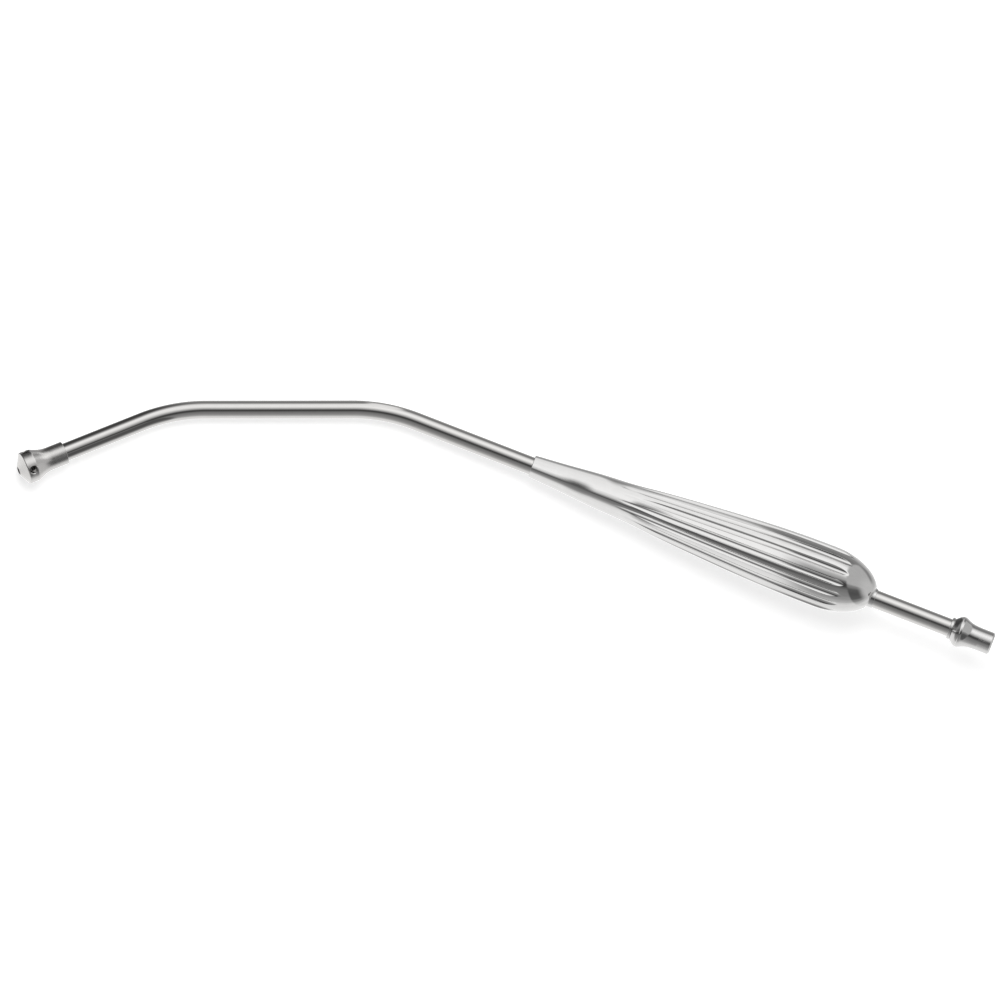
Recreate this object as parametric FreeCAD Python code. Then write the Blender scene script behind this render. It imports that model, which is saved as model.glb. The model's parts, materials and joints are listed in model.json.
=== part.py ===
import FreeCAD, Part
import math
import os

# Reusable suction tube: one bent steel tube, a drilled tip brazed on its front end, a hollow
# fluted grip brazed round its straight part and a turned hose end brazed on its rear end.
# Millimetres and degrees.
#
# Bench frame, in which the pieces are drawn: the straight rear part of the tube lies on X, the
# front face of the grip is at X = 0 and the hose end points to +X. Both bends lie in the XY plane
# and bring the tip down to -Y. At the end the whole tube is laid down as it rests on a table.

# Tube
tubeOuter = 5.5          # outside diameter
tubeWall = 0.5
noseToBend = 47.4        # front face of the grip to the corner of the rear bend
bendToBend = 64.8        # between the corners of the two bends
bendToSleeve = 35.6      # corner of the front bend to the rear face of the tip
bendAngle = 22.0         # each bend
bendRadius = 52.0        # of the tube's centre line
brazeGap = 0.03          # radial room for the braze in every seat

# Tip
tipLength = 15.2
tipNeck = 7.0            # diameter of the sleeve behind the flare
tipRim = 10.0            # diameter of the edge between the sides and the front cone
tipFaceAngle = 28.0      # front cone, measured from a flat face
tipFlareStart = 6.7      # rear face to the corner between sleeve and flare
tipFlareRound = 18.0
tipLand = 3.0            # nearly straight band behind the edge
tipLandDrop = 0.075      # how much lower the band is at its rear
tipRimRound = 0.3
tipSocket = 6.5          # depth of the tube's seat
tipHole = 2.4            # diameter of the hole in the front
sideHole = 2.2
sideHoleCount = 4
sideHoleSink = 3.0       # diameter of the countersinks
sideHoleBack = 1.8       # edge of the rim to the hole's centre
sideHoleTurn = 30.0      # first hole, from the bench's +Z towards the inside of the bends
drillPoint = 118.0       # full angle of the drill that made the chamber

# Grip
gripLength = 111.1       # front face to the pole of the rear dome
gripWidth = 19.46        # widest diameter
noseWidth = 6.86         # diameter of the front face
domeLength = 16.7        # widest station to the pole
gripWall = 1.4
noseSeat = 8.0           # length of the tube's seat behind the front face
noseRound = 0.15
gripLean = 0.48          # the grip's axis leans from the tube's towards the outside of the bends
# Outline between the front face and the widest station, as shares of that length and that rise
gripShape = ((0.127, 0.154), (0.233, 0.297), (0.323, 0.373),
             (0.424, 0.525), (0.583, 0.728), (0.784, 0.926))
lipWidth = 6.1           # diameter of the lip round the tube behind the dome
lipReach = 0.1           # how far the lip stands behind the pole
lipFoot = 2.2            # how far the lip's foot reaches into the dome
lipBand = 0.85           # from the pole forward to where the lip starts to spread
lipRound = 0.6

# Flutes, cut by a round bar that sinks in behind the nose and comes out over the dome
fluteCount = 16
fluteTurn = 4.5          # first flute, from the bench's +Z towards the outside of the bends
fluteCutter = 2.2        # radius of the flute's section
fluteStart = 0.245       # where the flutes start and end, as shares of the grip's length
fluteEnd = 0.909
fluteEntry = -3.4        # slope of the flute's floor where it starts and where it ends
fluteExit = -1.1
fluteGauges = ((0.36, 0.34), (0.50, 0.56))   # share of the length and depth there
fluteTail = 6.0          # how far the bar runs on past both ends

# Hose end
stubLength = 24.3        # pole of the dome to the front face of the hose end
hoseLength = 13.7
hoseFlange = 6.8         # diameter of the small collar at the front
hoseFlangeThick = 0.8
hoseGroove = 0.2         # depth of the groove behind the collar
hoseGrooveWidth = 0.3
hoseBead = 10.28         # diameter at which the two cones of the bead would meet
hoseBeadPlace = 3.1      # front face to that corner
hoseBeadRound = 2.0
hoseNeck = 7.22          # diameter at the corner between the rear cone and the slow taper behind it
hoseNeckPlace = 6.35     # front face to that corner
hoseNeckRound = 9.0
hoseTaperEnd = 9.4       # front face to the end of the taper
hoseWidth = 6.9          # diameter of the stretch that the hose grips
hoseSocket = 7.0         # depth of the tube's seat
hoseBore = 5.0           # diameter of the outlet
hoseEndBevel = 0.45      # off the rear corner, at 45 degrees

smallRound = 0.12
clearance = 1.0          # how far a cutter stands out of what it cuts
farAway = 1000.0
restDetail = 0.04        # how finely the pieces are measured where they are laid down
restTries = 6

tubeRadius = tubeOuter / 2
lumenRadius = tubeRadius - tubeWall
seatRadius = tubeRadius + brazeGap
gripWidest = gripLength - domeLength
hoseFront = gripLength + stubLength
along = FreeCAD.Vector(1, 0, 0)
outward = FreeCAD.Vector(0, 0, 1)


def heading(turn):
    """Unit vector in the bench plane that points towards the tip after the given turn."""
    angle = math.radians(turn)
    return FreeCAD.Vector(-math.cos(angle), -math.sin(angle), 0)


rearBend = FreeCAD.Vector(-noseToBend, 0, 0)
frontBend = rearBend + heading(bendAngle) * bendToBend
tipRear = frontBend + heading(2 * bendAngle) * bendToSleeve
tipPoint = frontBend + heading(2 * bendAngle) * (bendToSleeve + tipLength)


def roundedWire(corners, closed=True):
    """Wire of straight runs through (point, rounding) pairs, with a tangent arc at each corner.

    A rounding is limited to what the shorter of its two runs leaves room for."""
    count = len(corners)
    starts, ends, edges = [], [], []
    for index, (point, rounding) in enumerate(corners):
        inner = closed or 0 < index < count - 1
        before = (corners[index - 1][0] - point) if inner else FreeCAD.Vector()
        after = (corners[(index + 1) % count][0] - point) if inner else FreeCAD.Vector()
        half = before.getAngle(after) / 2 if inner and rounding > 0 else math.pi / 2
        if not inner or rounding <= 0 or half > math.pi / 2 - 1e-6:
            starts.append(point)
            ends.append(point)
            continue
        reach = min(rounding / math.tan(half), 0.49 * before.Length, 0.49 * after.Length)
        radius = reach * math.tan(half)
        inwards = (before.normalize() + after.normalize()).normalize()
        first = point + before * reach
        last = point + after * reach
        middle = point + inwards * (radius / math.sin(half) - radius)
        edges.append((index, Part.Arc(first, middle, last).toShape()))
        starts.append(first)
        ends.append(last)
    arcs = dict(edges)
    chain = []
    for index in range(count):
        if index in arcs:
            chain.append(arcs[index])
        last = index == count - 1
        if last and not closed:
            break
        follower = starts[(index + 1) % count]
        if (follower - ends[index]).Length > 1e-7:
            chain.append(Part.LineSegment(ends[index], follower).toShape())
    return Part.Wire(chain)


def turned(outline, place, direction):
    """Solid turned from (station, radius, rounding) corners about an axis through place."""
    corners = [(FreeCAD.Vector(station, radius, 0), rounding) for station, radius, rounding in outline]
    wire = roundedWire(corners)
    solid = Part.Face(wire).revolve(FreeCAD.Vector(), along, 360)
    solid.Placement = FreeCAD.Placement(place, FreeCAD.Rotation(along, direction))
    return solid


def suctionTube():
    """One tube from the tip's seat to the hose end's seat, through the grip."""
    path = roundedWire([
        (tipRear + heading(2 * bendAngle) * (tipSocket - brazeGap), 0),
        (frontBend, bendRadius),
        (rearBend, bendRadius),
        (FreeCAD.Vector(hoseFront + hoseSocket - brazeGap, 0, 0), 0)], closed=False)
    start = path.Vertexes[0].Point
    walls = []
    for radius in (tubeRadius, lumenRadius):
        ring = Part.Wire(Part.Circle(start, heading(2 * bendAngle), radius).toShape())
        walls.append(path.makePipeShell([ring], True, False))
    return walls[0].cut(walls[1])


def suctionTip():
    """Turned tip: a seat for the tube, a chamber, one hole in front and a ring of side holes."""
    rim = tipRim / 2
    hole = tipHole / 2
    edge = tipLength - (rim - hole) * math.tan(math.radians(tipFaceAngle))
    chamberEnd = edge - sideHoleBack + sideHole / 2 + smallRound
    drillReach = (lumenRadius - hole) / math.tan(math.radians(drillPoint / 2))
    tip = turned([
        (0, seatRadius, 0),
        (0, tipNeck / 2, smallRound),
        (tipFlareStart, tipNeck / 2, tipFlareRound),
        (edge - tipLand, rim - tipLandDrop, tipLand / 2),
        (edge, rim, tipRimRound),
        (tipLength, hole + smallRound, smallRound),
        (tipLength - smallRound, hole, 0),
        (chamberEnd + drillReach, hole, 0),
        (chamberEnd, lumenRadius, 0),
        (tipSocket, lumenRadius, 0),
        (tipSocket, seatRadius, 0)], FreeCAD.Vector(), along)
    station = edge - sideHoleBack
    drill = Part.makeCylinder(sideHole / 2, rim + clearance, FreeCAD.Vector(station, 0, 0), outward)
    sinkTop = sideHoleSink / 2 + clearance
    sinkFoot = FreeCAD.Vector(station, 0, rim - tipLandDrop - sideHoleSink / 2)
    sink = Part.makeCone(0, sinkTop, sinkTop, sinkFoot, outward)
    for index in range(sideHoleCount):
        turn = FreeCAD.Rotation(along, -sideHoleTurn - index * 360 / sideHoleCount)
        cutter = drill.fuse(sink)
        cutter.Placement = FreeCAD.Placement(FreeCAD.Vector(), turn)
        tip = tip.cut(cutter)
    # X of the tip's own frame becomes the heading, and its Z stays the bench's Z
    side = outward.cross(heading(2 * bendAngle))
    tip.Placement = FreeCAD.Placement(tipRear, FreeCAD.Rotation(heading(2 * bendAngle), side, outward, "XZY"))
    return tip


def gripOutline(inset):
    """Edges of the grip's outline, set inwards by inset: a spline to the widest station and a
    quarter of an ellipse to the pole."""
    nose = noseWidth / 2
    widest = gripWidth / 2
    points = [FreeCAD.Vector(0, nose - inset, 0)]
    for share, rise in gripShape:
        points.append(FreeCAD.Vector(share * gripWidest, nose + rise * (widest - nose) - inset, 0))
    points.append(FreeCAD.Vector(gripWidest, widest - inset, 0))
    body = Part.BSplineCurve()
    body.interpolate(Points=points, FinalTangent=along, InitialTangent=points[1] - points[0])
    centre = FreeCAD.Vector(gripWidest, 0, 0)
    pole = FreeCAD.Vector(gripLength - inset, 0, 0)
    slant = math.radians(45)
    middle = FreeCAD.Vector((domeLength - inset) * math.cos(slant), (widest - inset) * math.sin(slant), 0)
    if domeLength > widest:
        ellipse = Part.Ellipse(pole, points[-1], centre)
    else:
        ellipse = Part.Ellipse(points[-1], pole, centre)
    ends = sorted(ellipse.parameter(point) for point in (points[-1], pole))
    dome = Part.Arc(ellipse, ends[0], ends[1])
    if dome.toShape().distToShape(Part.Vertex(centre + middle))[0] > 1e-3:
        dome = Part.Arc(ellipse, ends[1], ends[0] + 2 * math.pi)
    return body, dome


def gripBlank(inset, start):
    """Solid of revolution inside that outline, from the station start to the pole."""
    body, dome = gripOutline(inset)
    first = body.value(body.FirstParameter)
    pole = FreeCAD.Vector(gripLength - inset, 0, 0)
    edges = [body.toShape(), dome.toShape(),
             Part.LineSegment(pole, FreeCAD.Vector()).toShape(),
             Part.LineSegment(FreeCAD.Vector(), first).toShape()]
    profile = Part.Face(Part.Wire(Part.sortEdges(edges)[0]))
    blank = profile.revolve(FreeCAD.Vector(), along, 360)
    if start > 0:
        blank = blank.cut(Part.makeCylinder(gripWidth, start, FreeCAD.Vector(), along))
    return blank


def outlineRadius(station):
    """Radius of the grip's outline at a station."""
    body, dome = gripOutline(0)
    ruler = Part.LineSegment(FreeCAD.Vector(station, 0, 0), FreeCAD.Vector(station, gripWidth, 0)).toShape()
    curve = body if station <= gripWidest else dome
    gap, pairs, info = ruler.distToShape(curve.toShape())
    return pairs[0][0].y


def fluteFloor():
    """Corners of the flute's floor: a straight entry, a straight middle and a straight exit."""
    def under(share, depth=0.0):
        return FreeCAD.Vector(share * gripLength, outlineRadius(share * gripLength) - depth, 0)

    def slope(angle):
        return FreeCAD.Vector(math.cos(math.radians(angle)), math.sin(math.radians(angle)), 0)

    def crossing(place, run, other, otherRun):
        return place + run * ((other - place).cross(otherRun).z / run.cross(otherRun).z)

    first, last = under(fluteStart), under(fluteEnd)
    gauges = [under(share, depth) for share, depth in fluteGauges]
    middle = gauges[1] - gauges[0]
    return [first - slope(fluteEntry) * fluteTail,
            crossing(first, slope(fluteEntry), gauges[0], middle),
            crossing(last, slope(fluteExit), gauges[0], middle),
            last + slope(fluteExit) * fluteTail]


def fluteCutters():
    """Round bars that run along the grip under its outline, with a wide arc at each corner."""
    lift = FreeCAD.Vector(0, fluteCutter, 0)
    path = roundedWire([(corner + lift, farAway) for corner in fluteFloor()], closed=False)
    start = path.Edges[0].firstVertex(True).Point
    forward = path.Edges[0].tangentAt(path.Edges[0].FirstParameter)
    ring = Part.Wire(Part.Circle(start, forward, fluteCutter).toShape())
    bar = path.makePipeShell([ring], True, False)
    bars = []
    for index in range(fluteCount):
        copy = bar.copy()
        copy.rotate(FreeCAD.Vector(), along, 90 - fluteTurn + index * 360 / fluteCount)
        bars.append(copy)
    return bars


def gripShell():
    """Hollow teardrop with flutes, a seat for the tube in its nose and a lip behind its dome."""
    blank = gripBlank(0, 0)
    front = [edge for edge in blank.Edges
             if edge.BoundBox.XLength < 1e-6 and abs(edge.BoundBox.XMin) < 1e-6]
    blank = blank.makeFillet(noseRound, front)
    blank = blank.cut(fluteCutters())
    hollow = gripBlank(gripWall, noseSeat)
    lean = FreeCAD.Rotation(FreeCAD.Vector(0, 0, 1), gripLean)
    for solid in (blank, hollow):
        solid.Placement = FreeCAD.Placement(FreeCAD.Vector(), lean)
    lip = turned([
        (gripLength - lipFoot, 0, 0),
        (gripLength - lipFoot, lipWidth / 2 + lipFoot, 0),
        (gripLength - lipBand, lipWidth / 2, lipRound),
        (gripLength + lipReach, lipWidth / 2, smallRound),
        (gripLength + lipReach, 0, 0)], FreeCAD.Vector(), along)
    lip = lip.cut(hollow)
    bore = Part.makeCylinder(seatRadius, gripLength + farAway, FreeCAD.Vector(-clearance, 0, 0), along)
    return blank.fuse(lip).cut(hollow).cut(bore)


def hoseConnector():
    """Turned hose end: collar, bead, neck and the stretch that the hose grips."""
    collar = hoseFlange / 2
    grip = hoseWidth / 2
    return turned([
        (0, seatRadius, 0),
        (0, collar, smallRound),
        (hoseFlangeThick, collar, smallRound),
        (hoseFlangeThick + hoseGrooveWidth / 2, collar - hoseGroove, 0),
        (hoseFlangeThick + hoseGrooveWidth, collar, 0),
        (hoseBeadPlace, hoseBead / 2, hoseBeadRound),
        (hoseNeckPlace, hoseNeck / 2, hoseNeckRound),
        (hoseTaperEnd, grip, 0),
        (hoseLength - hoseEndBevel, grip, 0),
        (hoseLength, grip - hoseEndBevel, 0),
        (hoseLength, hoseBore / 2 + smallRound, 0),
        (hoseLength - smallRound, hoseBore / 2, 0),
        (hoseSocket, hoseBore / 2, 0),
        (hoseSocket, seatRadius, 0)], FreeCAD.Vector(hoseFront, 0, 0), along)


def restingPlane(points, centre):
    """Placement that lays the points on a table as the weight at centre settles them.

    The body rests on the three lowest points whose triangle holds the weight: a triangle is
    pulled down to each lower point in turn, and the whole is turned level and tried again."""
    total = FreeCAD.Rotation()
    for attempt in range(restTries):
        level = [total.multVec(point) for point in points]
        weight = total.multVec(centre)
        feet = [FreeCAD.Vector(-farAway, -farAway, farAway), FreeCAD.Vector(farAway, -farAway, farAway),
                FreeCAD.Vector(0, 2 * farAway, farAway)]
        while True:
            normal = (feet[1] - feet[0]).cross(feet[2] - feet[0]).normalize()
            lowest = min(level, key=lambda point: (point - feet[0]).dot(normal))
            if (lowest - feet[0]).dot(normal) > -1e-6:
                break
            options = [[lowest, feet[1], feet[2]], [feet[0], lowest, feet[2]], [feet[0], feet[1], lowest]]
            options = [option for option in options if holds(option, weight)]
            feet = min(options, key=lambda option: heightAt(option, weight))
        total = FreeCAD.Rotation(normal, outward).multiply(total)
    return total


def holds(feet, weight):
    """Whether the weight, seen from above, lies inside the triangle of the feet."""
    turns = []
    for index in range(3):
        side = feet[(index + 1) % 3] - feet[index]
        arm = weight - feet[index]
        turns.append(side.x * arm.y - side.y * arm.x)
    return min(turns) >= -1e-9


def heightAt(feet, weight):
    """Height of the plane through the feet where the weight hangs over it."""
    normal = (feet[1] - feet[0]).cross(feet[2] - feet[0])
    return feet[0].z - (normal.x * (weight.x - feet[0].x) + normal.y * (weight.y - feet[0].y)) / normal.z


def layDown(pieces):
    """Lay the pieces on the table, tip to hose end along X, and centre them over the origin."""
    points = [point for piece in pieces.values() for point in piece.tessellate(restDetail)[0]]
    volume = sum(piece.Volume for piece in pieces.values())
    moment = sum((piece.CenterOfMass * piece.Volume for piece in pieces.values()), FreeCAD.Vector())
    centre = moment * (1 / volume)
    rest = restingPlane(points, centre)
    reach = rest.multVec(FreeCAD.Vector(hoseFront + hoseLength, 0, 0) - tipPoint)
    rest = FreeCAD.Rotation(outward, -math.degrees(math.atan2(reach.y, reach.x))).multiply(rest)
    level = [rest.multVec(point) for point in points]
    low = FreeCAD.Vector(*[min(point[axis] for point in level) for axis in range(3)])
    high = FreeCAD.Vector(*[max(point[axis] for point in level) for axis in range(3)])
    shift = FreeCAD.Vector(-(low.x + high.x) / 2, -(low.y + high.y) / 2, -low.z)
    laid = FreeCAD.Placement(shift, rest)
    for piece in pieces.values():
        piece.Placement = laid.multiply(piece.Placement)
    hoseAxis = rest.multVec(along)
    print("size", [round(value, 3) for value in high - low])
    print("hose end axis", [round(value, 9) for value in hoseAxis])
    for name, station in (("front face", hoseFront), ("end face", hoseFront + hoseLength)):
        print("hose end", name, [round(value, 7) for value in laid.multVec(FreeCAD.Vector(station, 0, 0))])
    print("up in the bench frame", [round(value, 5) for value in rest.inverted().multVec(outward)])


shapes = {
    "suction_tube": suctionTube(),
    "suction_tip": suctionTip(),
    "grip_shell": gripShell(),
    "hose_connector": hoseConnector(),
}
for name, shape in shapes.items():
    print(name, "solids", len(shape.Solids), "valid", shape.isValid(), "volume", round(shape.Volume, 2))
pieces = {name: shape.Solids[0] for name, shape in shapes.items()}
layDown(pieces)
os.makedirs("parts", exist_ok=True)
for name, piece in pieces.items():
    piece.exportStep("parts/" + name + ".step")
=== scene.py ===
import json
import math
import bpy
import numpy as np
from mathutils import Matrix, Vector


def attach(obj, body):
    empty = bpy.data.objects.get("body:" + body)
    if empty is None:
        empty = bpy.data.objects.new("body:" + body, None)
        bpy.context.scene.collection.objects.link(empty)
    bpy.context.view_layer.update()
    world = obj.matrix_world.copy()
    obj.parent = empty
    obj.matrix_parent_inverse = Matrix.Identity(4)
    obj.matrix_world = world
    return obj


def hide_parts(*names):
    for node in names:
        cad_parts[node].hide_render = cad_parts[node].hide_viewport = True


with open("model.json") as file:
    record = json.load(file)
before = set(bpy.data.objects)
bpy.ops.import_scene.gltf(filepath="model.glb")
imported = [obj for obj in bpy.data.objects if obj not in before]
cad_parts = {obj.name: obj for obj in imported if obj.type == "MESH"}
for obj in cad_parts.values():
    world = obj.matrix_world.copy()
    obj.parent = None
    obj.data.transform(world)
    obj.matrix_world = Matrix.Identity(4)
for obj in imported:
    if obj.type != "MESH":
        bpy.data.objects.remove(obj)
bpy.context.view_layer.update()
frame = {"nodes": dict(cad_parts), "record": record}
print("frame loaded", sorted(frame["nodes"]))

# Lengths below are millimetres and angles degrees, on the bench: X runs along the straight rear part
# of the tube with the grip's front face at X = 0, and both bends lie in the XY plane.
mm = 0.001
smallStep = 1e-4    # of a surface's two parameters, where its normal is worked out
tiny = 1e-6         # mm or radians under which two places or two directions are one
nearPole = 1e-9     # least value under the root where the dome's outline turns square to its axis
mostOfSide = 0.49   # of a straight side, the most that the round at one of its ends may take

tube = {
    "outer": 5.5, "inner": 4.5,
    "noseToBend": 47.4, "bendToBend": 64.8, "bendToSleeve": 35.6,
    "bendAngle": 22.0, "bendRadius": 52.0,
    "tipSeat": 6.47, "hoseSeat": 6.97,  # how deep the tube sits in the tip and in the hose end
    "columns": 160, "arcRows": 72, "runRows": 24,
}
grip = {
    "length": 111.1, "width": 19.46, "noseWidth": 6.86, "dome": 16.7, "wall": 1.4,
    "noseSeat": 8.0, "noseRound": 0.15, "lean": 0.48,
    "shape": ((0.127, 0.154), (0.233, 0.297), (0.323, 0.373), (0.424, 0.525), (0.583, 0.728), (0.784, 0.926)),
    "flutes": 16, "fluteTurn": 4.5, "cutter": 1.25, "start": 0.245, "end": 0.909,
    "entry": -3.4, "exit": -1.1, "gauges": ((0.36, 0.34), (0.50, 0.56)), "tail": 6.0,
    "leastHalfWidth": 1.2,  # degrees kept between a flute's columns where it is still closed
    "edgeRound": 0.07,    # how far the polishing took the flutes' edges down
    "domeStart": 102.0,   # behind the flutes: the skin turns from the grip's axis to the tube's
    "lipWidth": 6.1, "lipReach": 0.1, "lipRound": 0.5, "lipEdge": 0.12,
    "grooveCells": 9, "landCells": 4, "bodyRows": 112, "domeRows": 40,
    "crowding": 0.035,    # of the body's length, by which its rows draw together at both ends and midway
    "seatTurn": 0.125,    # of the hollow's length, where its middle goes from the tube to the grip's axis
}
hoseEnd = {
    "stub": 24.3, "length": 13.7, "flange": 6.8, "flangeThick": 0.8, "groove": 0.2, "grooveWidth": 0.3,
    "bead": 10.28, "beadPlace": 3.1, "beadRound": 2.0, "neck": 7.22, "neckPlace": 6.35, "neckRound": 9.0,
    "taperEnd": 9.4, "width": 6.9, "socket": 7.0, "bore": 5.0, "bevel": 0.45, "edge": 0.12,
    "columns": 160,
}
brazeGap = 0.03
seatRadius = tube["outer"] / 2 + brazeGap
rowsOf = {"step": 2, "run": 3, "face": 4, "corner": 5, "round": 9, "hollow": 24}   # by kind of patch


# Each vector over its own length
def unit(vectors):
    return vectors / np.linalg.norm(vectors, axis=-1, keepdims=True)


# Bench frame in metres: X is the hose end's axis, Z the direction in which the tube is thinnest
def benchMatrix():
    mount = next(m for m in frame["record"]["mounts"] if m["name"] == "hose_end")
    axis, place = unit(np.array(mount["axis"])), np.array(mount["pos_m"])
    tubePoints = np.array([v.co for v in frame["nodes"]["suction_tube"].data.vertices])
    endPoints = np.array([v.co for v in frame["nodes"]["hose_connector"].data.vertices])
    normal = np.linalg.svd(tubePoints - tubePoints.mean(0), full_matrices=False)[2][2]
    normal = unit(normal - axis * (normal @ axis))
    normal = normal * np.sign(normal[2])
    side = np.cross(normal, axis)
    reach = (grip["length"] + hoseEnd["stub"] + hoseEnd["length"]) * mm
    origin = place + axis * ((endPoints @ axis).max() - place @ axis - reach)
    return np.column_stack([axis, side, normal]), origin


benchTurn, benchOrigin = benchMatrix()
print("bench axes", np.round(benchTurn, 5).tolist(), "origin", np.round(benchOrigin, 6).tolist())


# Bench millimetres to metres in the frame
def toWorld(points):
    return points * mm @ benchTurn.T + benchOrigin


# Equal steps over a patch, from 0 to 1 or to another end
def spread(kind, end=1.0):
    return np.linspace(0, end, rowsOf[kind])


# Patch of skin: rows by columns of points from one function of two parameters, with the normals from
# the cross product of its two slopes. The second parameter is the angle round the axis.
def patch(surface, rows, angles):
    angles = np.broadcast_to(angles, (len(rows), np.shape(angles)[-1]))
    u = np.broadcast_to(np.asarray(rows, float)[:, None], angles.shape)
    alongRows = surface(u + smallStep, angles) - surface(u - smallStep, angles)
    alongColumns = surface(u, angles + smallStep) - surface(u, angles - smallStep)
    return surface(u, angles), unit(np.cross(alongColumns, alongRows))


# Closed skin from patches that follow each other and end where the first began. A row that lies on
# the row before it shares its vertices, and keeps its own normals, so a crease stays crisp. The
# coordinates are places for the steel's grain, where they differ from the points themselves.
def skin(name, node, slot, patches, coordinates=None):
    points = np.concatenate([p[0] for p in patches])
    normals = np.concatenate([p[1] for p in patches])
    rows, columns = points.shape[:2]
    fresh = np.abs(points - np.roll(points, 1, axis=0)).max(axis=(1, 2)) > tiny
    rowVertex = (np.cumsum(fresh) - 1) % fresh.sum()
    near = np.arange(rows)
    far = (near + 1) % rows
    real = rowVertex[near] != rowVertex[far]
    near, far = near[real], far[real]
    left = np.arange(columns)
    right = (left + 1) % columns
    corners = [(near, left), (near, right), (far, right), (far, left)]
    vertexOf = [rowVertex[r][:, None] * columns + c[None, :] for r, c in corners]
    quads = np.stack(vertexOf, axis=-1).reshape(-1)
    loopNormals = np.stack([normals[r][:, c] for r, c in corners], axis=2).reshape(-1, 3)
    kept = points[fresh].reshape(-1, 3)
    mesh = bpy.data.meshes.new(name)
    mesh.vertices.add(len(kept))
    mesh.vertices.foreach_set("co", toWorld(kept).astype(np.float32).ravel())
    mesh.loops.add(len(quads))
    mesh.loops.foreach_set("vertex_index", quads.astype(np.int32))
    mesh.polygons.add(len(quads) // 4)
    mesh.polygons.foreach_set("loop_start", np.arange(0, len(quads), 4, dtype=np.int32))
    mesh.update(calc_edges=True)
    mesh.polygons.foreach_set("use_smooth", np.ones(len(mesh.polygons), bool))
    mesh.normals_split_custom_set((unit(loopNormals) @ benchTurn.T).tolist())
    straight = points if coordinates is None else coordinates
    store = mesh.attributes.new("straightened", "FLOAT_VECTOR", "POINT")
    store.data.foreach_set("vector", straight[fresh].astype(np.float32).ravel())
    mesh.materials.append(materials[slot])
    obj = bpy.data.objects.new(name, mesh)
    bpy.context.scene.collection.objects.link(obj)
    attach(obj, "root")
    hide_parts(node)
    print(name, "vertices", len(mesh.vertices), "triangles", 2 * len(mesh.polygons))


# Equal angles once round
def wheel(columns):
    return np.arange(columns) * 2 * math.pi / columns


# Skin of a turned piece from (station, radius, rounding) corners: the outline is straight runs with a
# tangent arc at each corner, and each run and arc is turned once round the bench's X
def turnedPatches(outline, columns):
    count = len(outline)
    places = np.array([corner[:2] for corner in outline], float)
    starts, ends, arcs = places.copy(), places.copy(), {}
    for index, rounding in enumerate(corner[2] for corner in outline):
        before = places[index - 1] - places[index]
        after = places[(index + 1) % count] - places[index]
        reach, other = np.linalg.norm(before), np.linalg.norm(after)
        before, after = before / reach, after / other
        half = math.acos(np.clip(before @ after, -1, 1)) / 2
        if rounding <= 0 or half > math.pi / 2 - tiny:
            continue
        reach = min(rounding / math.tan(half), mostOfSide * reach, mostOfSide * other)
        starts[index] = places[index] + before * reach
        ends[index] = places[index] + after * reach
        bow = reach * math.tan(half)
        centre = places[index] + (before + after) / np.linalg.norm(before + after) * bow / math.sin(half)
        arcs[index] = (centre, starts[index] - centre, ends[index] - centre, math.pi - 2 * half)

    def turn(station, radius, angle):
        return np.stack([station, radius * np.cos(angle), radius * np.sin(angle)], axis=-1)

    def arcSkin(arc):
        centre, first, last, sweep = arc

        def surface(u, angle):
            near = np.sin((1 - u) * sweep) / math.sin(sweep)
            far = np.sin(u * sweep) / math.sin(sweep)
            station, radius = (centre[k] + near * first[k] + far * last[k] for k in range(2))
            return turn(station, radius, angle)
        return surface

    def runSkin(first, last):
        def surface(u, angle):
            station, radius = (first[k] + u * (last[k] - first[k]) for k in range(2))
            return turn(station, radius, angle)
        return surface

    patches = []
    for index in range(count):
        if index in arcs:
            patches.append(patch(arcSkin(arcs[index]), spread("round"), wheel(columns)))
        follower = starts[(index + 1) % count]
        if np.linalg.norm(follower - ends[index]) > tiny:
            patches.append(patch(runSkin(ends[index], follower), spread("run"), wheel(columns)))
    return patches


# Centre line of the tube from the tip to the hose end: runs and arcs laid end to end. A run adds its
# length along its heading, and an arc adds the chord of the turn made so far.
def tubeCourse():
    tangent = tube["bendRadius"] * math.tan(math.radians(tube["bendAngle"] / 2))
    bend = math.radians(tube["bendAngle"])
    arc = tube["bendRadius"] * bend
    frontReach = tube["bendToSleeve"] + tube["tipSeat"]
    rearReach = grip["length"] + hoseEnd["stub"] + tube["hoseSeat"] + tube["noseToBend"]
    lengths = [frontReach - tangent, arc, tube["bendToBend"] - 2 * tangent, arc, rearReach - tangent]
    turns = [0, -bend, 0, -bend, 0]
    heading = 2 * bend
    rearBend = np.array([-tube["noseToBend"], 0.0])
    frontBend = rearBend - tube["bendToBend"] * np.array([math.cos(bend), math.sin(bend)])
    front = frontBend - frontReach * np.array([math.cos(heading), math.sin(heading)])

    def course(s):
        place = np.stack([np.full_like(s, coordinate) for coordinate in front], axis=-1)
        angle = np.full_like(s, heading)
        passed = 0.0
        for length, turn in zip(lengths, turns):
            done = np.clip(s - passed, 0, length)
            half = turn * done / length / 2
            middle = angle + half
            chord = done * np.sinc(half / math.pi)
            place = place + chord[..., None] * np.stack([np.cos(middle), np.sin(middle)], axis=-1)
            angle = angle + 2 * half
            passed += length
        return place, angle
    return course, lengths


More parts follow.
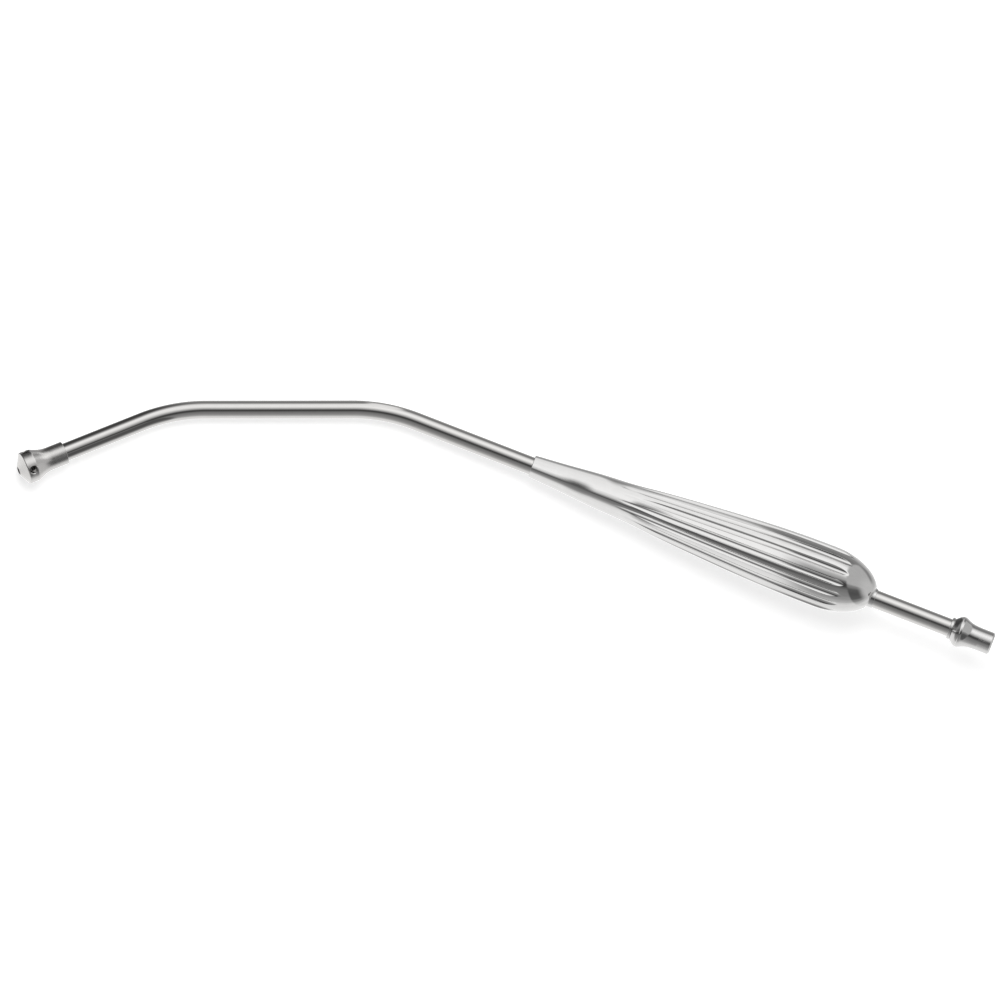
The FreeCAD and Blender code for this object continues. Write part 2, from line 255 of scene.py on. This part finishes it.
# Skin of the tube: a circle square to the centre line, carried along it
def makeTube():
    course, lengths = tubeCourse()
    total = sum(lengths)
    stations = [0.0]
    for length, rows in zip(lengths, (tube["runRows"], tube["arcRows"]) * 2 + (tube["runRows"],)):
        stations.extend(stations[-1] + length * np.linspace(0, 1, rows + 1)[1:])
    stations = np.array(stations)

    def wall(s, radius, turn):
        place, angle = course(s)
        across, up = radius * np.cos(turn), radius * np.sin(turn)
        x, y = place[..., 0] - across * np.sin(angle), place[..., 1] + across * np.cos(angle)
        return np.stack([x, y, up], axis=-1)

    outer, inner = tube["outer"] / 2, tube["inner"] / 2
    around = wheel(tube["columns"])
    ends = spread("run")
    patches = [
        patch(lambda u, v: wall(u, outer, v), stations, around),
        patch(lambda u, v: wall(np.full_like(u, total), outer + (inner - outer) * u, v), ends, around),
        patch(lambda u, v: wall(total - u, inner, v), total - stations[::-1], around),
        patch(lambda u, v: wall(np.zeros_like(u), inner + (outer - inner) * u, v), ends, around)]
    alongTube = np.concatenate([stations, np.full(len(ends), total), stations[::-1], np.zeros(len(ends))])
    radii = np.concatenate([np.full(len(stations), outer), outer + (inner - outer) * ends,
                            np.full(len(stations), inner), inner + (outer - inner) * ends])
    straight = np.stack([np.broadcast_to(alongTube[:, None], (len(alongTube), len(around))),
                         radii[:, None] * np.cos(around), radii[:, None] * np.sin(around)], axis=-1)
    skin("drawn_suction_tube", "suction_tube", "drawn_tube", patches, straight)


# Smooth curve through the grip's stations: cubic pieces whose slopes agree where they meet, which is
# one linear equation for each inner station
def gripCurve():
    nose, widest = grip["noseWidth"] / 2, grip["width"] / 2
    length = grip["length"] - grip["dome"]
    x = np.array([0.0] + [share * length for share, rise in grip["shape"]] + [length])
    y = np.array([nose] + [nose + rise * (widest - nose) for share, rise in grip["shape"]] + [widest])
    gap, climb = np.diff(x), np.diff(y) / np.diff(x)
    system = np.eye(len(x))
    target = np.zeros(len(x))
    target[0], target[-1] = climb[0], 0
    for i in range(1, len(x) - 1):
        system[i, i - 1:i + 2] = gap[i], 2 * (gap[i - 1] + gap[i]), gap[i - 1]
        target[i] = 3 * (gap[i] * climb[i - 1] + gap[i - 1] * climb[i])
    slope = np.linalg.solve(system, target)

    def radius(station):
        i = np.clip(np.searchsorted(x, station) - 1, 0, len(gap) - 1)
        t = (station - x[i]) / gap[i]
        body = (y[i] * (1 + 2 * t) * (1 - t) ** 2 + y[i + 1] * t ** 2 * (3 - 2 * t)
                + gap[i] * (slope[i] * t * (1 - t) ** 2 - slope[i + 1] * t ** 2 * (1 - t)))
        dome = widest * np.sqrt(np.clip(1 - ((station - length) / grip["dome"]) ** 2, nearPole, 1))
        return np.where(station < length, body, dome)
    return radius


# Height of the flute cutter's centre over the grip's axis: three straight runs with a wide arc at
# each of the two corners, as the bar that cut the flute ran
def cutterCurve(radius):
    def under(share, depth=0.0):
        return np.array([share * grip["length"], float(radius(np.array(share * grip["length"]))) - depth])

    def run(angle):
        return np.array([math.cos(math.radians(angle)), math.sin(math.radians(angle))])

    def crossing(place, way, other, otherWay):
        cross = way[0] * otherWay[1] - way[1] * otherWay[0]
        offset = other - place
        return place + way * (offset[0] * otherWay[1] - offset[1] * otherWay[0]) / cross

    first, last = under(grip["start"]), under(grip["end"])
    near, farther = (under(share, depth) for share, depth in grip["gauges"])
    middle = unit(farther - near)
    entry, leave = run(grip["entry"]), run(grip["exit"])
    corners = [crossing(first, entry, near, middle), crossing(last, leave, near, middle)]
    ends = [first - entry * grip["tail"], last + leave * grip["tail"]]
    slopes = [way[1] / way[0] for way in (entry, middle, leave)]
    span = np.linalg.norm(corners[1] - corners[0])
    reaches = [mostOfSide * min(np.linalg.norm(end - corner), span) for end, corner in zip(ends, corners)]
    changes = [slopes[0] - slopes[1], slopes[2] - slopes[1]]

    def centre(station):
        height = corners[0][1] + slopes[1] * (station - corners[0][0])
        for corner, reach, change, side in zip(corners, reaches, changes, (-1, 1)):
            past = side * (station - corner[0])
            inside = np.clip(past + reach, 0, 2 * reach)
            height = height + side * change * (inside ** 2 / (4 * reach) + np.maximum(past - reach, 0))
        return height + grip["cutter"]
    return centre


# Skin of the grip. Along the body the radius is the smaller of the outline's and the flute's, rounded
# where the two meet; behind the flutes it is the dome, met by a small round and a lip about the tube.
def makeGrip():
    radius = gripCurve()
    cutter = cutterCurve(radius)
    pitch = 2 * math.pi / grip["flutes"]
    lean = math.radians(grip["lean"])
    widestAt = grip["length"] - grip["dome"]
    widest = grip["width"] / 2

    def fluted(station, angle):
        outline = radius(station)
        centre = cutter(station)
        across = (angle + pitch / 2) % pitch - pitch / 2
        inside = np.clip(grip["cutter"] ** 2 - (centre * np.sin(across)) ** 2, 0, None)
        flute = centre * np.cos(across) - np.sqrt(inside)
        soft = grip["edgeRound"]
        mixing = np.clip(0.5 + 0.5 * (flute - outline) / soft, 0, 1)
        return flute + (outline - flute) * mixing - soft * mixing * (1 - mixing)

    def halfWidth(station):
        outline, centre = radius(station), cutter(station)
        cosine = (outline ** 2 + centre ** 2 - grip["cutter"] ** 2) / (2 * outline * centre)
        return np.maximum(np.arccos(np.clip(cosine, -1, 1)), math.radians(grip["leastHalfWidth"]))

    # v counts half flutes: from a flute's floor to its edge, on to the middle of the land, and back
    cells = grip["grooveCells"] + grip["landCells"]
    halves = np.arange(2 * grip["flutes"] * cells)
    step = halves % cells
    towards = np.where(step <= grip["grooveCells"], step / grip["grooveCells"],
                       1 + (step - grip["grooveCells"]) / grip["landCells"])
    rising = (halves // cells) % 2 == 0
    towards = np.where(rising, towards, 2 - np.where(step <= grip["landCells"], step / grip["landCells"],
                                                     1 + (step - grip["landCells"]) / grip["grooveCells"]))
    fluteIndex = (halves + cells) // (2 * cells)

    def angleOf(station):
        half = halfWidth(station)[:, None]
        inGroove = half * np.sin(np.minimum(towards, 1) * math.pi / 2)
        onLand = (pitch / 2 - half) * (1 - np.cos(np.clip(towards - 1, 0, 1) * math.pi / 2))
        return fluteIndex * pitch + np.where(rising, 1, -1) * (inGroove + onLand)

    def leaned(station, across, up):
        return np.stack([station * math.cos(lean) - across * math.sin(lean),
                         station * math.sin(lean) + across * math.cos(lean), up], axis=-1)

    first = math.radians(90 - grip["fluteTurn"])

    def around(station, distance, angle):
        return leaned(station, distance * np.cos(angle + first), distance * np.sin(angle + first))

    count = grip["bodyRows"]
    share = np.linspace(0, 1, count)
    crowd = share - grip["crowding"] * np.sin(4 * math.pi * share)
    stations = grip["noseRound"] + (grip["domeStart"] - grip["noseRound"]) * crowd
    bodyAngles = angleOf(stations)
    nose = grip["noseWidth"] / 2
    corner = grip["noseRound"]

    def frontFace(u, angle):
        return around(np.zeros_like(u), seatRadius + (nose - corner - seatRadius) * u, angle)

    def noseEdge(u, angle):
        slope = float(radius(np.array(corner))) - nose
        return around(corner * (1 - np.cos(u)), nose - corner + (corner + slope) * np.sin(u), angle)

    def body(u, angle):
        return around(u, fluted(u, angle), angle)

    # The dome's rings shrink towards the pole while their centre moves from the grip's axis to the
    # tube's; each point's station is then the ellipsoid's over that spot
    startRing = float(radius(np.array(grip["domeStart"])))
    lip, lipRound = grip["lipWidth"] / 2, grip["lipRound"]
    poleSide = math.tan(lean)

    def domeStation(across, up):
        distance = np.clip((across ** 2 + up ** 2) / widest ** 2, 0, 1)
        return widestAt + grip["dome"] * np.sqrt(1 - distance)

    def overDome(ring, angle):
        settle = np.clip((startRing - ring) / (startRing - lip - lipRound), 0, 1)
        settle = settle * settle * (3 - 2 * settle)
        drift = -settle * poleSide * grip["length"] * math.cos(lean)
        across = drift + ring * np.cos(angle + first)
        up = ring * np.sin(angle + first)
        return domeStation(across, up), across, up

    def dome(u, angle):
        return leaned(*overDome(startRing + (lip + lipRound - startRing) * u, angle))

    def lipFoot(u, angle):
        ring = lip + lipRound * (1 - np.sin(u))
        station, across, up = overDome(np.full_like(u, lip + lipRound), angle)
        shrink = ring / (lip + lipRound)
        drift = -poleSide * grip["length"] * math.cos(lean)
        return leaned(station + lipRound * (1 - np.cos(u)), drift + (across - drift) * shrink, up * shrink)

    def aboutTube(station, distance, angle):
        turned = angle + first
        return np.stack([station, distance * np.cos(turned), distance * np.sin(turned)], axis=-1)

    lipEnd = grip["length"] + grip["lipReach"]

    def lipBand(u, angle):
        foot = lipFoot(np.full_like(u, math.pi / 2), angle)
        band = aboutTube(np.full_like(u, lipEnd - grip["lipEdge"]), np.full_like(u, lip), angle)
        return foot + (band - foot) * u[..., None]

    def lipCorner(u, angle):
        edge = grip["lipEdge"]
        return aboutTube(lipEnd - edge * (1 - np.sin(u)), lip - edge * (1 - np.cos(u)), angle)

    def lipFace(u, angle):
        rim = lip - grip["lipEdge"]
        return aboutTube(np.full_like(u, lipEnd), rim + (seatRadius - rim) * u, angle)

    wall = grip["wall"]
    hollowEnd = widestAt + (grip["dome"] - wall) * math.sqrt(1 - (seatRadius / (widest - wall)) ** 2)

    def rearBore(u, angle):
        return aboutTube(lipEnd + (hollowEnd - lipEnd) * u, np.full_like(u, seatRadius), angle)

    def hollow(u, angle):
        station = hollowEnd + (grip["noseSeat"] - hollowEnd) * u
        into = (station - widestAt) / (grip["dome"] - wall)
        domed = (widest - wall) * np.sqrt(np.clip(1 - into ** 2, 0, 1))
        distance = np.where(station < widestAt, radius(station) - wall, domed)
        centred = around(station, np.maximum(distance, seatRadius), angle)
        drift = poleSide * station * (1 - np.minimum(u / grip["seatTurn"], 1))
        return centred - np.stack([np.zeros_like(u), drift, np.zeros_like(u)], axis=-1)

    def noseWall(u, angle):
        distance = float(radius(np.array(grip["noseSeat"]))) - wall
        return around(np.full_like(u, grip["noseSeat"]), distance + (seatRadius - distance) * u, angle)

    def frontBore(u, angle):
        return around(grip["noseSeat"] * (1 - u), np.full_like(u, seatRadius), angle)

    quarter = spread("round", math.pi / 2)
    front, rear = bodyAngles[0], bodyAngles[-1]
    patches = [
        patch(frontFace, spread("face"), front), patch(noseEdge, quarter, front),
        patch(body, stations, bodyAngles),
        patch(dome, np.sin(np.linspace(0, math.pi / 2, grip["domeRows"])), rear),
        patch(lipFoot, quarter, rear), patch(lipBand, spread("face"), rear),
        patch(lipCorner, spread("corner", math.pi / 2), rear), patch(lipFace, spread("step"), rear),
        patch(rearBore, spread("run"), rear), patch(hollow, spread("hollow"), rear),
        patch(noseWall, spread("step"), front), patch(frontBore, spread("run"), front)]
    skin("fluted_hollow_grip", "grip_shell", "polished_grip", patches)


# Skin of the hose end, turned from its outline
def makeHoseEnd():
    front = grip["length"] + hoseEnd["stub"]
    collar, bead, neck, width, bore = (hoseEnd[k] / 2 for k in ("flange", "bead", "neck", "width", "bore"))
    thick, middle = hoseEnd["flangeThick"], hoseEnd["grooveWidth"] / 2
    edge, bevel, end = hoseEnd["edge"], hoseEnd["bevel"], hoseEnd["length"]
    outline = [
        (0, seatRadius, 0), (0, collar, edge), (thick, collar, edge),
        (thick + middle, collar - hoseEnd["groove"], 0), (thick + 2 * middle, collar, 0),
        (hoseEnd["beadPlace"], bead, hoseEnd["beadRound"]),
        (hoseEnd["neckPlace"], neck, hoseEnd["neckRound"]), (hoseEnd["taperEnd"], width, 0),
        (end - bevel, width, 0), (end, width - bevel, 0), (end, bore + edge, 0), (end - edge, bore, 0),
        (hoseEnd["socket"], bore, 0), (hoseEnd["socket"], seatRadius, 0)]
    outline = [(front + station, radius, rounding) for station, radius, rounding in outline]
    skin("turned_hose_end", "hose_connector", "polished_fitting", turnedPatches(outline, hoseEnd["columns"]))


# One output of a node, with the arithmetic that turns expressions into Math nodes
class Wire:
    def __init__(self, tree, socket):
        self.tree, self.socket = tree, socket

    def maths(self, operation, *values):
        return self.tree.node("ShaderNodeMath", {"operation": operation}, dict(enumerate(values)))

    def __add__(self, other):
        return self.maths("ADD", self, other)

    def __radd__(self, other):
        return self.maths("ADD", other, self)

    def __sub__(self, other):
        return self.maths("SUBTRACT", self, other)

    def __rsub__(self, other):
        return self.maths("SUBTRACT", other, self)

    def __mul__(self, other):
        return self.maths("MULTIPLY", self, other)

    def __rmul__(self, other):
        return self.maths("MULTIPLY", other, self)

    def __truediv__(self, other):
        return self.maths("DIVIDE", self, other)

    def __rtruediv__(self, other):
        return self.maths("DIVIDE", other, self)


class Tree:
    def __init__(self, nodeTree):
        self.nodeTree = nodeTree
        nodeTree.nodes.clear()

    def node(self, kind, settings=None, values=None, output=0):
        made = self.nodeTree.nodes.new(kind)
        for name, value in (settings or {}).items():
            if name == "stops":
                ramp = made.color_ramp
                for index, (place, level) in enumerate(value):
                    stop = ramp.elements[index] if index < 2 else ramp.elements.new(place)
                    stop.position = place
                    stop.color = (level, level, level, 1)
            elif name == "blend":
                made.color_ramp.interpolation = value
            else:
                setattr(made, name, value)
        for socket, value in (values or {}).items():
            if isinstance(value, Wire):
                self.nodeTree.links.new(value.socket, made.inputs[socket])
            else:
                made.inputs[socket].default_value = value
        return made if output is None else Wire(self, made.outputs[output])

    def smooth(self, value, low, high):
        return self.node("ShaderNodeMapRange", {"interpolation_type": "SMOOTHSTEP"},
                         {"Value": value, "From Min": low, "From Max": high})

    def noise(self, place, scale, detail, roughness):
        return self.node("ShaderNodeTexNoise", {}, {
            "Vector": place, "Scale": scale, "Detail": detail, "Roughness": roughness})

    # The mix node's colours go by number, because its sockets of other types have the same names
    def mix(self, share, first, second):
        return self.node("ShaderNodeMix", {"data_type": "RGBA"}, {0: share, 6: first, 7: second}, 2)


# Steels. Stretch is how many noise cells there are per mm along the piece and across it, lines is
# how far in mm the fine lines turn the surface, swell does the same for what hand polishing leaves,
# and spread is how far the roughness wanders.
steels = {
    "drawn_tube": {
        "colour": (0.64, 0.63, 0.62), "roughness": 0.05, "spread": 0.03,
        "stretch": (0.02, 2.6), "lines": 0.0006, "swell": 0.0020},
    "satin_tip": {
        "colour": (0.62, 0.61, 0.60), "roughness": 0.24, "spread": 0.06,
        "stretch": (7.0, 0.12), "lines": 0.0016, "swell": 0.0010},
    "polished_grip": {
        "colour": (0.66, 0.655, 0.65), "roughness": 0.055, "spread": 0.02,
        "stretch": (0.05, 1.4), "lines": 0.0003, "swell": 0.0040},
    "polished_fitting": {
        "colour": (0.64, 0.635, 0.63), "roughness": 0.10, "spread": 0.03,
        "stretch": (6.0, 0.1), "lines": 0.0008, "swell": 0.0020},
}
# Wear, the same on every steel. Its noises are given as scale, detail and roughness, and haze is the
# paler look of the places where lines and smudges are strong.
wear = {
    "lines": (1.0, 3.0, 0.6), "swell": (0.16, 1.0, 0.5), "smudge": (0.45, 4.0, 0.55),
    "clear": 0.97, "hazy": 1.02,   # of the steel's colour
    "hazeFrom": 0.3, "hazeFull": 0.75,
}


# Place along and across the tip's own axis, in mm, for the one piece that has no stored coordinates
def tipPlace(tree):
    where = tree.node("ShaderNodeTexCoord", output="Object")
    bend = math.radians(2 * tube["bendAngle"])
    turn = np.column_stack([benchTurn @ (math.cos(bend), math.sin(bend), 0),
                            benchTurn @ (-math.sin(bend), math.cos(bend), 0), benchTurn[:, 2]])
    axes = Matrix(turn.T.tolist())
    shift = axes @ Vector((-benchOrigin).tolist())
    return tree.node("ShaderNodeMapping", {"vector_type": "POINT"}, {
        "Vector": where, "Scale": (1 / mm,) * 3, "Rotation": axes.to_euler(), "Location": shift / mm})


def steel(name, place=None):
    finish = steels[name]
    material = bpy.data.materials.new(name + "_steel")
    material.use_nodes = True
    tree = Tree(material.node_tree)
    if place:
        where = place(tree)
    else:
        where = tree.node("ShaderNodeAttribute", {"attribute_name": "straightened"}, output="Vector")
    along, across = finish["stretch"]
    stretched = tree.node("ShaderNodeVectorMath", {"operation": "MULTIPLY"},
                          {0: where, 1: (along, across, across)})
    lines = tree.noise(stretched, *wear["lines"])
    swell = tree.noise(where, *wear["swell"])
    smudge = tree.noise(where, *wear["smudge"])
    rough = finish["roughness"] + finish["spread"] * ((lines - 0.5) + (smudge - 0.5))
    haze = tree.smooth(0.5 * lines + 0.5 * smudge, wear["hazeFrom"], wear["hazeFull"])
    clear, hazy = (tuple(wear[look] * part for part in finish["colour"]) + (1,) for look in ("clear", "hazy"))
    colour = tree.mix(haze, clear, hazy)
    wavy = tree.node("ShaderNodeBump", {}, {
        "Strength": 1.0, "Distance": finish["swell"] * mm, "Height": swell}, "Normal")
    lined = tree.node("ShaderNodeBump", {}, {
        "Strength": 1.0, "Distance": finish["lines"] * mm, "Height": lines, "Normal": wavy}, "Normal")
    shader = tree.node("ShaderNodeBsdfPrincipled", {}, {
        "Base Color": colour, "Metallic": 1.0, "Roughness": rough, "Normal": lined}, "BSDF")
    tree.node("ShaderNodeOutputMaterial", {}, {"Surface": shader}, None)
    return material


materials = {name: steel(name, tipPlace if name == "satin_tip" else None) for name in steels}
for slot in frame["nodes"]["suction_tip"].material_slots:
    slot.material = materials["satin_tip"]
makeTube()
makeGrip()
makeHoseEnd()
print("pieces made")

# Camera: it looks down on the bench without perspective. Its angles, in degrees, are how far it leans
# off the bench's Z to the near side, how far along the tube, and how far the tube is turned in view.
view = {
    "tilt": 15.768, "lead": -0.498, "roll": 21.151,
    "originPixel": (531.875, 466.064), "mmPerPixel": 0.3022, "centrePixel": 500, "pixels": 1000,
    "distance": 2.0, "nearest": 0.1, "farthest": 20,   # m, and the distance doesn't change the view
}


def addCamera():
    tilt, lead, roll = (math.radians(view[k]) for k in ("tilt", "lead", "roll"))
    along, side, normal = benchTurn.T
    toCamera = math.cos(lead) * (math.cos(tilt) * normal - math.sin(tilt) * side) - math.sin(lead) * along
    level = unit(along - toCamera * (along @ toCamera))
    right = math.cos(roll) * level + math.sin(roll) * np.cross(toCamera, level)
    up = np.cross(toCamera, right)
    shiftRight = (view["centrePixel"] - view["originPixel"][0]) * view["mmPerPixel"] * mm
    shiftUp = (view["originPixel"][1] - view["centrePixel"]) * view["mmPerPixel"] * mm
    place = benchOrigin + right * shiftRight + up * shiftUp + toCamera * view["distance"]
    camera = bpy.data.cameras.new("camera")
    camera.type = "ORTHO"
    camera.ortho_scale = view["mmPerPixel"] * mm * view["pixels"]
    camera.clip_start, camera.clip_end = view["nearest"], view["farthest"]
    holder = bpy.data.objects.new("camera", camera)
    holder.matrix_world = Matrix.Translation(place.tolist()) @ Matrix(
        np.column_stack([right, up, toCamera]).tolist()).to_4x4()
    bpy.context.scene.collection.objects.link(holder)
    bpy.context.scene.camera = holder
    return right, up, toCamera


right, up, toCamera = addCamera()

# Studio that the steel mirrors, as levels round the object. Degrees go from straight at the camera
# (0) over the far side (positive) or the near side (negative) to straight away from it (180).
studio = {
    "turn": 10.0,   # degrees from the picture's upright to the studio's
    "most": 1.4,    # over every level below
    "round": (
        (-180, 1.2), (-140, 1.12), (-100, 1.0), (-92, 0.88), (-82, 0.6), (-66, 0.42), (-48, 0.31),
        (-30, 0.25), (-22, 0.17), (-15, 0.09), (-6, 0.06), (2, 0.17), (14, 0.56), (30, 1.05), (44, 1.35),
        (60, 1.25), (76, 0.85), (90, 0.38), (102, 0.25), (122, 0.33), (140, 0.55), (158, 0.78), (180, 0.9)),
    # What the grip's swelling part mirrors, which leans a little towards the tip
    "body": (
        (-180, 1.2), (-110, 1.15), (-86, 1.15), (-69, 1.08), (-62, 0.96), (-56, 0.66), (-49, 0.46),
        (-40, 0.3), (-29, 0.24), (-22, 0.1), (-14, 0.4), (-8, 0.8), (2, 1.05), (14, 1.3), (60, 1.2),
        (100, 1.1), (116, 0.6), (130, 0.34), (150, 0.5), (180, 0.9)),
    # It fills a band of directions a little to the picture's left, which slants by bodySlope
    "bodySlope": 0.17, "bodyFrom": 0.03, "bodyFull": 0.08, "bodyLast": 0.17, "bodyEnd": 0.22,
    # Towards the picture's left the far side is dimmer
    "westFrom": 0.10, "westFull": 0.36, "westFar": 0.2, "westDim": 0.75,
    # Towards its right, which the dome and the turned ends mirror
    "end": (
        (-180, 1.2), (-112, 0.95), (-96, 0.66), (-80, 0.32), (-66, 0.14), (-40, 0.11), (-24, 0.13), (-8, 0.3),
        (4, 0.6), (108, 0.6), (128, 0.3), (150, 0.6), (180, 1.1)),
    "endFrom": 0.48, "endFull": 0.54, "capFrom": 0.75, "capFull": 0.97, "cap": 0.72,
    "lampPower": 6.0, "lampSize": 0.9, "lampPlace": (-0.25, 0.55, 1.2),   # W, m and m
    "floorReach": 3.0,     # m from the middle to each side
    "floorLevel": 0.9, "floorRoughness": 0.9,
    "cameraFloor": 0.55,   # added to the floor for the camera alone, to whiten the ground
}


def makeWorld():
    world = bpy.data.worlds.new("studio")
    bpy.context.scene.world = world
    world.use_nodes = True
    tree = Tree(world.node_tree)
    turn = math.radians(studio["turn"])
    north = math.cos(turn) * up + math.sin(turn) * right
    east = math.cos(turn) * right - math.sin(turn) * up
    direction = tree.node("ShaderNodeTexCoord", output="Generated")

    def towards(axis):
        values = {0: direction, 1: axis.tolist()}
        return tree.node("ShaderNodeVectorMath", {"operation": "DOT_PRODUCT"}, values, "Value")

    n, e, c = towards(north), towards(east), towards(toCamera)
    turned = n.maths("ARCTAN2", n, c) / (2 * math.pi) + 0.5

    def levels(name):
        stops = [((degrees + 180) / 360, level / studio["most"]) for degrees, level in studio[name]]
        ramp = tree.node("ShaderNodeValToRGB", {"stops": stops, "blend": "EASE"}, {"Fac": turned}, "Color")
        return ramp * studio["most"]

    # Level of a direction: the round one, dimmed to the west, then the body's, the end's and the cap's
    west = tree.smooth(e * -1, studio["westFrom"], studio["westFull"])
    west = west * tree.smooth(n, 0.0, studio["westFar"])
    end = tree.smooth(e, studio["endFrom"], studio["endFull"])
    cap = tree.smooth(e, studio["capFrom"], studio["capFull"])
    swelling = n * studio["bodySlope"] - e
    body = tree.smooth(swelling, studio["bodyFrom"], studio["bodyFull"])
    body = body * (1 - tree.smooth(swelling, studio["bodyLast"], studio["bodyEnd"]))
    level = levels("round") * (1 - studio["westDim"] * west)
    level = level * (1 - body) + levels("body") * body
    level = level * (1 - end) + levels("end") * end
    level = level * (1 - cap) + studio["cap"] * cap
    seen = tree.node("ShaderNodeLightPath", output="Is Camera Ray")
    strength = level * (1 - seen) + seen
    light = tree.node("ShaderNodeBackground", {}, {"Color": (1, 1, 1, 1), "Strength": strength}, "Background")
    tree.node("ShaderNodeOutputWorld", {}, {"Surface": light}, None)


# Plain pale floor, which keeps the shadow
def makeFloor():
    corners = np.array([(-1, -1, 0), (1, -1, 0), (1, 1, 0), (-1, 1, 0)]) * studio["floorReach"]
    mesh = bpy.data.meshes.new("floor")
    mesh.from_pydata(corners.tolist(), [], [(0, 1, 2, 3)])
    floor = bpy.data.objects.new("floor", mesh)
    bpy.context.scene.collection.objects.link(floor)
    material = bpy.data.materials.new("pale_floor")
    material.use_nodes = True
    tree = Tree(material.node_tree)
    seen = tree.node("ShaderNodeLightPath", output="Is Camera Ray")
    glow = tree.mix(seen, (0, 0, 0, 1), (studio["cameraFloor"],) * 3 + (1,))
    shader = tree.node("ShaderNodeBsdfPrincipled", {}, {
        "Base Color": (studio["floorLevel"],) * 3 + (1,), "Roughness": studio["floorRoughness"],
        "Specular IOR Level": 0.0, "Emission Color": glow, "Emission Strength": 1.0}, "BSDF")
    tree.node("ShaderNodeOutputMaterial", {}, {"Surface": shader}, None)
    mesh.materials.append(material)
    # The steel mirrors the studio's lower half instead of the floor, so no ray from it stops here
    floor.visible_glossy = False
    floor.visible_shadow = False


# One wide soft lamp over the far side, which draws that shadow
def addLamp():
    lamp = bpy.data.lights.new("soft_lamp", "AREA")
    lamp.shape, lamp.size = "DISK", studio["lampSize"]
    lamp.energy = studio["lampPower"]
    holder = bpy.data.objects.new("soft_lamp", lamp)
    place = Vector(studio["lampPlace"])
    holder.location = place
    holder.rotation_euler = place.to_track_quat("Z", "Y").to_euler()
    holder.visible_glossy = False
    holder.visible_camera = False
    bpy.context.scene.collection.objects.link(holder)


makeWorld()
makeFloor()
addLamp()
bpy.context.scene.view_settings.view_transform = "Standard"
print("studio made")
